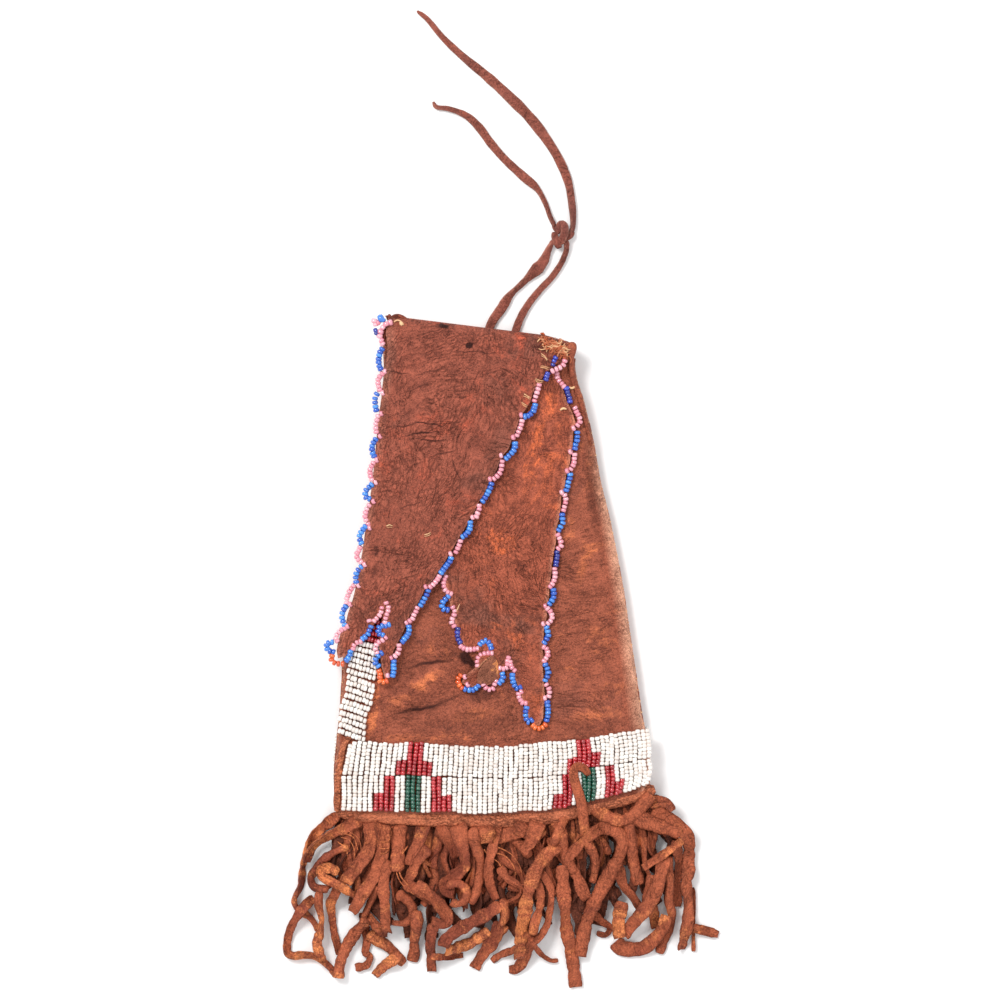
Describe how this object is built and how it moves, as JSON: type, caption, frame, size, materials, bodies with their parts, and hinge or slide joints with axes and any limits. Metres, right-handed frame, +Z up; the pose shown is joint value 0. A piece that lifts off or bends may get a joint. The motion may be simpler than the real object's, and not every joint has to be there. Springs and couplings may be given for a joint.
{
  "type": "beaded paint pouch",
  "caption": "Tapered hide pouch with two notched flaps folded over the front, beaded edges, a two-lane bead band, a fringe along the bottom and a knotted thong at the mouth.",
  "frame": {"origin": "on the table, under the middle of the pouch and its fringe, with the thong left out", "axes": "+Z up from the table through the front of the pouch, +Y from the fringe to the mouth, +X to the right as the beaded front is read"},
  "size_m": [0.1652, 0.3737, 0.0142],
  "materials": {
    "pouch_hide": "worn matte smoked hide",
    "flap_hide": "worn matte smoked hide",
    "fringe_hide": "matte cut hide strip",
    "thong_hide": "matte twisted hide thong",
    "white_beads": "opaque glossy glass seed bead",
    "red_beads": "opaque glossy glass seed bead",
    "green_beads": "opaque glossy glass seed bead",
    "blue_beads": "opaque glossy glass seed bead",
    "pink_beads": "opaque glossy glass seed bead",
    "orange_beads": "opaque glossy glass seed bead",
    "sinew": "dry matte sinew thread"
  },
  "bodies": {
    "root": {"back_panel": "pouch_hide", "front_panel": "pouch_hide", "left_seam": "pouch_hide", "right_seam": "pouch_hide", "mouth_fold": "flap_hide", "front_lip_fold": "flap_hide", "bottom_welt": "fringe_hide", "hooked_strip": "fringe_hide", "thong_lacing": "thong_hide", "upper_lane_white_left": "white_beads", "upper_lane_white_middle": "white_beads", "upper_lane_white_right": "white_beads", "lower_lane_white_left": "white_beads", "lower_lane_white_inner_left": "white_beads", "lower_lane_white_inner_right": "white_beads", "lower_lane_white_middle": "white_beads", "lower_lane_white_second_left": "white_beads", "lower_lane_white_second_right": "white_beads", "lower_lane_white_right": "white_beads", "back_upper_lane": "white_beads", "back_lower_lane": "white_beads", "side_strip": "white_beads", "upper_lane_red_left": "red_beads", "upper_lane_red_right": "red_beads", "lower_lane_red_outer_left": "red_beads", "lower_lane_red_outer_right": "red_beads", "lower_lane_red_second_left": "red_beads", "lower_lane_red_second_right": "red_beads", "lower_lane_green_left": "green_beads", "lower_lane_green_right": "green_beads"},
    "over_flap": {"over_flap": "flap_hide", "over_flap_left_beads": "blue_beads", "over_flap_left_tab_beads": "pink_beads", "over_flap_left_tip_beads": "orange_beads", "over_flap_right_tab_beads": "blue_beads", "over_flap_right_tip_beads": "orange_beads", "over_flap_right_beads": "pink_beads", "corner_stitch": "sinew"},
    "under_flap": {"under_flap": "flap_hide", "under_flap_left_beads": "blue_beads", "under_flap_left_tab_beads": "pink_beads", "under_flap_left_tip_beads": "orange_beads", "under_flap_right_tab_beads": "blue_beads", "under_flap_right_tip_beads": "orange_beads", "under_flap_right_beads": "pink_beads"},
    "fringe": {"fringe_lower_layer": "fringe_hide", "fringe_middle_layer": "fringe_hide", "fringe_upper_layer": "fringe_hide"},
    "thong": {"thong_left_strand": "thong_hide", "thong_right_strand": "thong_hide", "thong_knot": "thong_hide", "thong_long_end": "thong_hide", "thong_short_end": "thong_hide"}
  },
  "joints": [
    {"name": "over_flap_hinge", "type": "hinge", "parent": "root", "child": "over_flap", "pos_m": [-0.00671, 0.1227, 0.00785], "axis": [-0.9924, 0.1232, 0], "range_deg": [0, 165]},
    {"name": "under_flap_hinge", "type": "hinge", "parent": "root", "child": "under_flap", "pos_m": [-0.00753, 0.11606, 0.00955], "axis": [-0.9924, 0.1232, 0], "range_deg": [0, 75]},
    {"name": "fringe_hinge", "type": "hinge", "parent": "root", "child": "fringe", "pos_m": [-0.00262, -0.05991, 0.00565], "axis": [-0.999, -0.0438, 0], "range_deg": [0, 60]},
    {"name": "thong_swing", "type": "hinge", "parent": "root", "child": "thong", "pos_m": [-0.00011, 0.11092, 0.0012], "axis": [0, 0, 1], "range_deg": [-25, 25]}
  ],
  "couplings": [
    {"joint": "under_flap_hinge", "follows": "over_flap_hinge", "ratio": 0.45}
  ]
}
